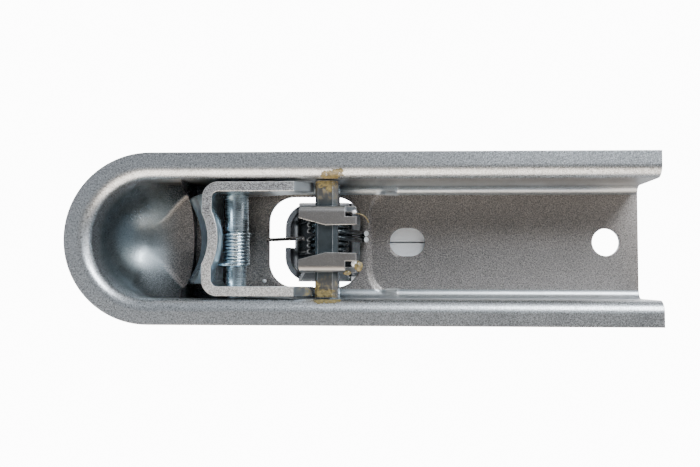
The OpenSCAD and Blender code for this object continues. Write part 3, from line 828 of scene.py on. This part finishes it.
class COUPLER_OT_stage(bpy.types.Operator):
    """Sets up the camera, the floor, the surroundings and the lights"""

    bl_idname = "coupler.stage"
    bl_label = "Stage"

    def execute(self, context):
        stage = context.scene.coupler_stage
        self.camera(context, stage)
        self.floor(context, stage)
        self.surroundings(context, stage)
        for name, (at, aim, sides, colour) in LIGHTS.items():
            self.light(context, f"{name}_light", at, aim, sides, getattr(stage, name), colour)
        return {"FINISHED"}

    def camera(self, context, stage):
        data = bpy.data.cameras.new("camera")
        data.lens = stage.lens
        data.sensor_width = SENSOR_W
        made = bpy.data.objects.new("camera", data)
        context.scene.collection.objects.link(made)
        back = -Vector(stage.camera_aim).normalized()
        right = (Vector((1, 0, 0)) - back * back.x).normalized()
        up = back.cross(right)
        turn = Matrix((right, up, back)).transposed()
        made.matrix_world = Matrix.Translation(Vector(stage.camera_at)) @ turn.to_4x4()
        context.scene.camera = made

    def floor(self, context, stage):
        """A pale floor under the lips; a camera below it looks through its back."""
        half = stage.floor_size / 2
        made = bmesh.new()
        made.faces.new([
            made.verts.new((x, y, (LIPS_Z - FLOOR_GAP) * MM))
            for x, y in ((-half, -half), (half, -half), (half, half), (-half, half))
        ])
        data = bpy.data.meshes.new("floor")
        made.to_mesh(data)
        made.free()
        material, net = new_material("pale_floor")
        colour = stage.floor_colour
        tone = net.mix(net.grain(net.place(), 40.0, 3.0), colour, shade(colour, 0.97))
        solid = net.node("ShaderNodeBsdfPrincipled", None, {"Base Color": tone, "Roughness": 0.7})
        clear = net.node("ShaderNodeBsdfTransparent")
        behind = net.node("ShaderNodeNewGeometry", out="Backfacing")
        mixed = net.node("ShaderNodeMixShader", None, {"Fac": behind, 1: solid, 2: clear})
        net.node("ShaderNodeOutputMaterial", None, {"Surface": mixed})
        data.materials.append(material)
        floor = bpy.data.objects.new("floor", data)
        context.scene.collection.objects.link(floor)
        floor.visible_diffuse = False
        floor.visible_glossy = False
        floor.visible_transmission = False
        floor.visible_shadow = False

    def surroundings(self, context, stage):
        """White to the camera; to the part, a light tent that is darker straight below."""
        world = bpy.data.worlds.new("surroundings")
        world.use_nodes = True
        context.scene.world = world
        net = Net(world.node_tree)
        x, _, z = net.axes(net.node("ShaderNodeTexCoord", out="Generated"))
        tent = net.node("ShaderNodeValToRGB", {"stops": TENT}, {"Fac": z * 0.5 + 0.5})
        tent = net.mix(x.step(0.1, -0.5) * z.step(0.0, -0.5), tent, TENT_NOSE)
        seen = net.node("ShaderNodeLightPath", out="Is Camera Ray")
        tent_light = net.node("ShaderNodeBackground", None, {"Color": tent, "Strength": 1.0})
        white = net.node("ShaderNodeBackground", None, {"Color": WHITE, "Strength": stage.backdrop})
        mixed = net.node("ShaderNodeMixShader", None, {"Fac": seen, 1: tent_light, 2: white})
        net.node("ShaderNodeOutputWorld", None, {"Surface": mixed})

    def light(self, context, name, at, aim, sides, power, colour):
        data = bpy.data.lights.new(name, "AREA")
        data.shape = "RECTANGLE"
        data.size, data.size_y = sides
        data.energy = power
        data.color = colour
        made = bpy.data.objects.new(name, data)
        context.scene.collection.objects.link(made)
        made.location = at
        made.rotation_mode = "QUATERNION"
        made.rotation_quaternion = (Vector(aim) - Vector(at)).to_track_quat("-Z", "Y")
        made.visible_camera = False


class COUPLER_OT_housing(bpy.types.Operator):
    """Gives the pressed housing its plated finish"""

    bl_idname = "coupler.housing"
    bl_label = "Housing"

    def execute(self, context):
        dress("coupler_body", plated_sheet(context.scene.coupler_look))
        return {"FINISHED"}


class COUPLER_OT_jaw(bpy.types.Operator):
    """Gives the jaw its faces and its sheared edge"""

    bl_idname = "coupler.jaw"
    bl_label = "Jaw"

    def execute(self, context):
        dress("jaw", sheared_jaw(context.scene.coupler_look))
        return {"FINISHED"}


class COUPLER_OT_pins(bpy.types.Operator):
    """Gives the pins, the sleeve and the spacers their turned finish"""

    bl_idname = "coupler.pins"
    bl_label = "Pins, sleeve and spacers"

    def execute(self, context):
        steel = turned_steel(context.scene.coupler_look)
        for node in ("jaw_pin", "spacer_sleeve", "lever_pin", "lever_spacer_left", "lever_spacer_right"):
            dress(node, steel)
        return {"FINISHED"}


class COUPLER_OT_lever(bpy.types.Operator):
    """Gives the lever and the lock bar their finishes"""

    bl_idname = "coupler.lever"
    bl_label = "Lever and lock bar"

    def execute(self, context):
        look = context.scene.coupler_look
        dress("lever", lever_plate(look))
        dress("lock_bar", bare_bar(look))
        return {"FINISHED"}


# Clear gaps between the turns of the coils, in millimetres
JAW_COIL_GAP = 0.05
LEVER_COIL_GAP = 0.15


class COUPLER_OT_jaw_spring(bpy.types.Operator):
    """Winds the jaw's plated torsion spring"""

    bl_idname = "coupler.jaw_spring"
    bl_label = "Jaw spring"

    def execute(self, context):
        wires = context.scene.coupler_wires
        thick = wires.jaw_wire / MM
        radius = thick / 2
        low, high = (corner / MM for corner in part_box("jaw_spring"))
        coil_r = high.x - JAW_PIN.x - radius
        y_start = low.y + radius
        coil = turns(JAW_PIN, coil_r, y_start, thick + JAW_COIL_GAP, wires.jaw_turns, 0)
        web_end = Vector((JAW_PIN.x + coil_r, y_start, high.z))
        cup_end = Vector((low.x, coil[-1].y, JAW_PIN.z - coil_r))
        route = [web_end, web_end.lerp(coil[0], 0.5)] + coil + [coil[-1].lerp(cup_end, 0.5), cup_end]
        plated, cut = zinc_wire(context.scene.coupler_look), cut_steel()
        mesh = wire_mesh(route, radius)
        made = finished("jaw_spring_wound", mesh, "jaw_body", "spring_zinc", plated, cut)
        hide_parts("jaw_spring")
        return {"FINISHED"}


class COUPLER_OT_lever_springs(bpy.types.Operator):
    """Winds the lever's two oiled torsion springs and bends the hook that reaches them"""

    bl_idname = "coupler.lever_springs"
    bl_label = "Lever springs and hook"

    def execute(self, context):
        look = context.scene.coupler_look
        wires = context.scene.coupler_wires
        dark, cut = oiled_wire(look.oiled), cut_steel()
        thick = wires.lever_wire / MM
        radius = thick / 2
        coil_r = wires.lever_coil / MM
        for node, side in (("lever_spring_left", 1), ("lever_spring_right", -1)):
            low, high = (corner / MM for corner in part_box(node))
            y_start = low.y + radius if side > 0 else high.y - radius
            pitch = side * (thick + LEVER_COIL_GAP)
            coil = turns(LEVER_PIN, coil_r, y_start, pitch, wires.lever_turns, -90)
            y_end = coil[-1].y
            # The leg lies under the web behind the opening and turns down at its end
            leg = [
                Vector((high.x - 1.7, y_start, 22.8)),
                Vector((high.x - 3.7, y_start, 25.6)),
                Vector((LEVER_PIN.x + 9.0, y_start, LEVER_PIN.z - 7.6)),
                coil[0], coil[1],
            ]
            # The arm rises from the coil to the underside of the lever's cap
            arm = [
                coil[-2], coil[-1],
                Vector((coil[-1].x - 0.4, y_end, LEVER_PIN.z + 8)),
                Vector((low.x + 1.2, y_end, high.z - radius)),
            ]
            route = eased(leg)[:-1] + coil[1:-2] + eased(arm)
            mesh = wire_mesh(route, radius, 16, 0.4)
            made = finished(f"{node}_wound", mesh, None, "oiled_spring", dark, cut)
            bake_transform(made)
            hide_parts(node)
        self.hook(wires.hook_wire / MM / 2, LEVER_PIN.x - coil_r - radius, oiled_wire(look.worn_wire), cut)
        return {"FINISHED"}

    def hook(self, radius, coil_front, worn, cut):
        """Bends the hook from the web back to the front of the coils."""
        low, high = (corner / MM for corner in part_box("spring_hook"))
        web = high.z - radius
        across = (low.y + high.y) / 2
        route = eased([Vector((x, across, z)) for x, z in (
            (low.x + 1.8, web), (low.x + 3.4, web), (low.x + 6.5, web - 0.7), (low.x + 14.5, 17.0),
            (coil_front - radius - 0.2, LEVER_PIN.z - 2))])
        mesh = wire_mesh(route, radius, 12)
        made = finished("spring_hook_bent", mesh, "housing", "oiled_spring", worn, cut)
        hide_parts("spring_hook")


# Films of grease: the body that carries each, the node under it and the height it stays below, then its
# spots, each with its middle (x, y), its two half lengths and its thickness, all in millimetres
FILMS = {
    "grease_lip_front": ("housing", "coupler_body", -3.0, [
        (80.4, -27.9, 6.2, 2.3, 0.35), (82.9, -29.4, 3.6, 1.4, 0.3), (78.4, -26.6, 3.5, 1.6, 0.5)]),
    "grease_lip_back": ("housing", "coupler_body", -3.0, [
        (77.9, 27.4, 6.5, 1.5, 0.4), (82.4, 27.2, 3.0, 1.8, 0.3)]),
    "grease_bar_front": ("lever_body", "lock_bar", 2.0, [
        (77.4, -25.0, 6.0, 2.6, 0.5), (79.4, -22.5, 2.0, 2.2, 0.25)]),
    "grease_bar_back": ("lever_body", "lock_bar", 2.0, [
        (77.4, 24.6, 6.5, 3.0, 0.7), (73.9, 22.0, 2.0, 3.5, 0.5)]),
}

# Lumps of grease on the lever: middle and half lengths
GREASE_LUMPS = {
    "grease_lump_tab": ((92.3, 12.0, -4.6), (1.9, 2.2, 1.5)),
    "grease_lump_leg": ((87.3, 15.0, -2.6), (1.8, 1.1, 1.3)),
}
THREAD_R = 0.17
THREAD_ROUTE = [(91.0, -11.2, -5.0), (93.6, -10.9, -5.4), (95.8, -9.4, -4.2), (96.6, -7.4, -2.6)]

# Beads inside the pressing, with their x, y and radius, and on the tabs' ends, with their middle and radius
WELD_BEADS = {"bead_opening": (46.0, 18.7, 0.95), "bead_dome": (11.4, 12.0, 0.5)}
TAB_BEADS = {"bead_tab_front": ((90.4, -11.9, -4.6), 1.0), "bead_tab_back": ((90.4, 11.0, -4.6), 1.3)}
BEAD_UNEVEN = 0.12


class COUPLER_OT_grease(bpy.types.Operator):
    """Spreads the old grease on the lips and the bar's ends, its lumps on the lever and its thread"""

    bl_idname = "coupler.grease"
    bl_label = "Grease"

    def execute(self, context):
        grease = amber_grease(context.scene.coupler_look)
        for name, (body, node, ceiling, spots) in FILMS.items():
            film(name, body, node, ceiling, spots, grease)
        for name, (centre, radii) in GREASE_LUMPS.items():
            lump(name, "lever_body", centre, radii, grease)
        mesh = wire_mesh(eased(THREAD_ROUTE), THREAD_R, 8)
        depth_layer = mesh.verts.layers.float.new("depth")
        for vert in mesh.verts:
            vert[depth_layer] = 1.0
        finished("grease_thread", mesh, "lever_body", "lever_zinc", grease, grease)
        return {"FINISHED"}


class COUPLER_OT_beads(bpy.types.Operator):
    """Adds the small weld beads inside the pressing and the bright beads on the tabs' ends"""

    bl_idname = "coupler.beads"
    bl_label = "Beads"

    def execute(self, context):
        bright = cut_steel()
        tree = surface_tree("coupler_body")
        for name, (x, y, radius) in WELD_BEADS.items():
            hit = tree.ray_cast(Vector((x, y, LIPS_Z)), UPWARD)[0]
            if hit is None:
                raise RuntimeError(f"nothing above {name}")
            lump(name, "housing", (x, y, hit.z), (radius, radius, radius * 0.8), bright, BEAD_UNEVEN)
        for name, (centre, radius) in TAB_BEADS.items():
            lump(name, "lever_body", centre, (radius * 1.1, radius, 0.8), bright, BEAD_UNEVEN)
        return {"FINISHED"}


class COUPLER_PT_panel(bpy.types.Panel):
    """Lists the pieces and the settings of the dressing"""

    bl_idname = "COUPLER_PT_panel"
    bl_label = "Coupling head"
    bl_space_type = "VIEW_3D"
    bl_region_type = "UI"
    bl_category = "Coupler"

    def draw(self, context):
        for group, operators in GROUPS.items():
            box = self.layout.box()
            settings = getattr(context.scene, group)
            for key in settings.__annotations__:
                box.prop(settings, key)
            for operator in operators:
                box.operator(operator.bl_idname)


SETTINGS = {"coupler_stage": CouplerStage, "coupler_look": CouplerLook, "coupler_wires": CouplerWires}
GROUPS = {
    "coupler_stage": (COUPLER_OT_stage,),
    "coupler_look": (
        COUPLER_OT_housing, COUPLER_OT_jaw, COUPLER_OT_pins, COUPLER_OT_lever,
        COUPLER_OT_grease, COUPLER_OT_beads,
    ),
    "coupler_wires": (COUPLER_OT_jaw_spring, COUPLER_OT_lever_springs),
}
OPERATORS = tuple(operator for group in GROUPS.values() for operator in group)
CLASSES = (*SETTINGS.values(), *OPERATORS, COUPLER_PT_panel)


def register():
    for cls in CLASSES:
        bpy.utils.register_class(cls)
    for key, cls in SETTINGS.items():
        setattr(bpy.types.Scene, key, bpy.props.PointerProperty(type=cls))


def unregister():
    for key in SETTINGS:
        delattr(bpy.types.Scene, key)
    for cls in reversed(CLASSES):
        bpy.utils.unregister_class(cls)


def main():
    register()
    bpy.ops.coupler.stage()
    bpy.ops.coupler.housing()
    bpy.ops.coupler.jaw()
    bpy.ops.coupler.pins()
    bpy.ops.coupler.lever()
    bpy.ops.coupler.jaw_spring()
    bpy.ops.coupler.lever_springs()
    bpy.ops.coupler.grease()
    bpy.ops.coupler.beads()


if __name__ == "__main__":
    main()
